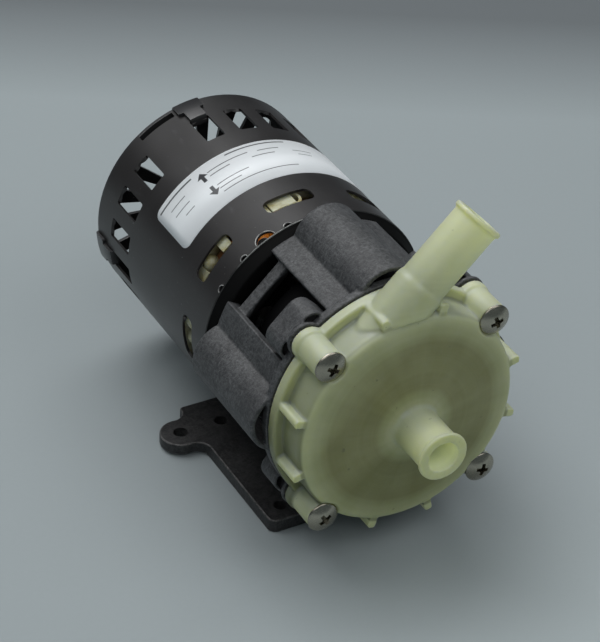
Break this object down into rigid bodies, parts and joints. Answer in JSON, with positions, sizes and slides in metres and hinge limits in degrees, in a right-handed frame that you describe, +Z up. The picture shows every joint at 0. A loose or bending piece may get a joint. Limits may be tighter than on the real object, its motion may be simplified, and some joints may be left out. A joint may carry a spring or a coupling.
{
  "type": "magnetic drive pump",
  "caption": "Close-coupled magnetic drive centrifugal pump: plastic volute with inlet and angled discharge spigots, open bracket, slotted cylindrical motor and flat base.",
  "frame": {"origin": "on the base's underside, midway between its two rows of holes, under the shaft line", "axes": "+Y from the inlet towards the motor along the shaft line, +Z up, X across the base"},
  "size_m": [0.0986, 0.1709, 0.1261],
  "materials": {
    "cover_plastic": "satin translucent",
    "bracket_plastic": "glass filled",
    "base_plastic": "glass filled",
    "wet_plastic": "satin",
    "screw_steel": "satin",
    "plated_steel": "satin",
    "insert_brass": "satin",
    "seal_rubber": "matte",
    "spindle_ceramic": "polished",
    "carbon_bushing": "matte",
    "magnet": "matte",
    "shell_paint": "satin black",
    "end_plate_paint": "satin black",
    "shaft_steel": "ground",
    "lamination_steel": "oiled",
    "rotor_aluminium": "cast",
    "winding_enamel": "varnished",
    "insulator_plastic": "satin",
    "fan_plastic": "satin",
    "bearing_bronze": "sintered",
    "label_sheet": "satin"
  },
  "bodies": {
    "pump_frame": {"base_plate": "base_plastic", "base_screws": "plated_steel", "motor_bracket": "bracket_plastic", "cover_screw_inserts": "insert_brass", "front_cover": "cover_plastic", "cover_seal": "seal_rubber", "cover_screws": "screw_steel", "rear_housing": "wet_plastic", "spindle": "spindle_ceramic", "front_thrust_washer": "spindle_ceramic", "rear_thrust_washer": "spindle_ceramic", "bracket_screws": "plated_steel", "bracket_nuts": "plated_steel", "motor_front_plate": "end_plate_paint", "motor_shell": "shell_paint", "motor_end_cap": "shell_paint", "front_bearing": "bearing_bronze", "rear_bearing": "bearing_bronze", "stator_core": "lamination_steel", "stator_windings": "winding_enamel", "front_insulator": "insulator_plastic", "rear_insulator": "insulator_plastic", "motor_label": "label_sheet"},
    "motor_rotor": {"motor_shaft": "shaft_steel", "rotor_core": "lamination_steel", "rotor_end_rings": "rotor_aluminium", "cooling_fan": "fan_plastic", "drive_magnet_cup": "plated_steel", "drive_magnets": "magnet", "cup_set_screw": "plated_steel"},
    "impeller_assembly": {"impeller": "wet_plastic", "inner_magnet": "magnet", "impeller_bushing": "carbon_bushing"}
  },
  "joints": [
    {"name": "rotor_spin", "type": "hinge", "parent": "pump_frame", "child": "motor_rotor", "pos_m": [0, 0.0231, 0.0537], "axis": [0, 1, 0], "continuous": true},
    {"name": "impeller_spin", "type": "hinge", "parent": "pump_frame", "child": "impeller_assembly", "pos_m": [0, -0.0319, 0.0537], "axis": [0, 1, 0], "continuous": true}
  ],
  "couplings": [
    {"joint": "impeller_spin", "follows": "rotor_spin", "ratio": 1}
  ]
}
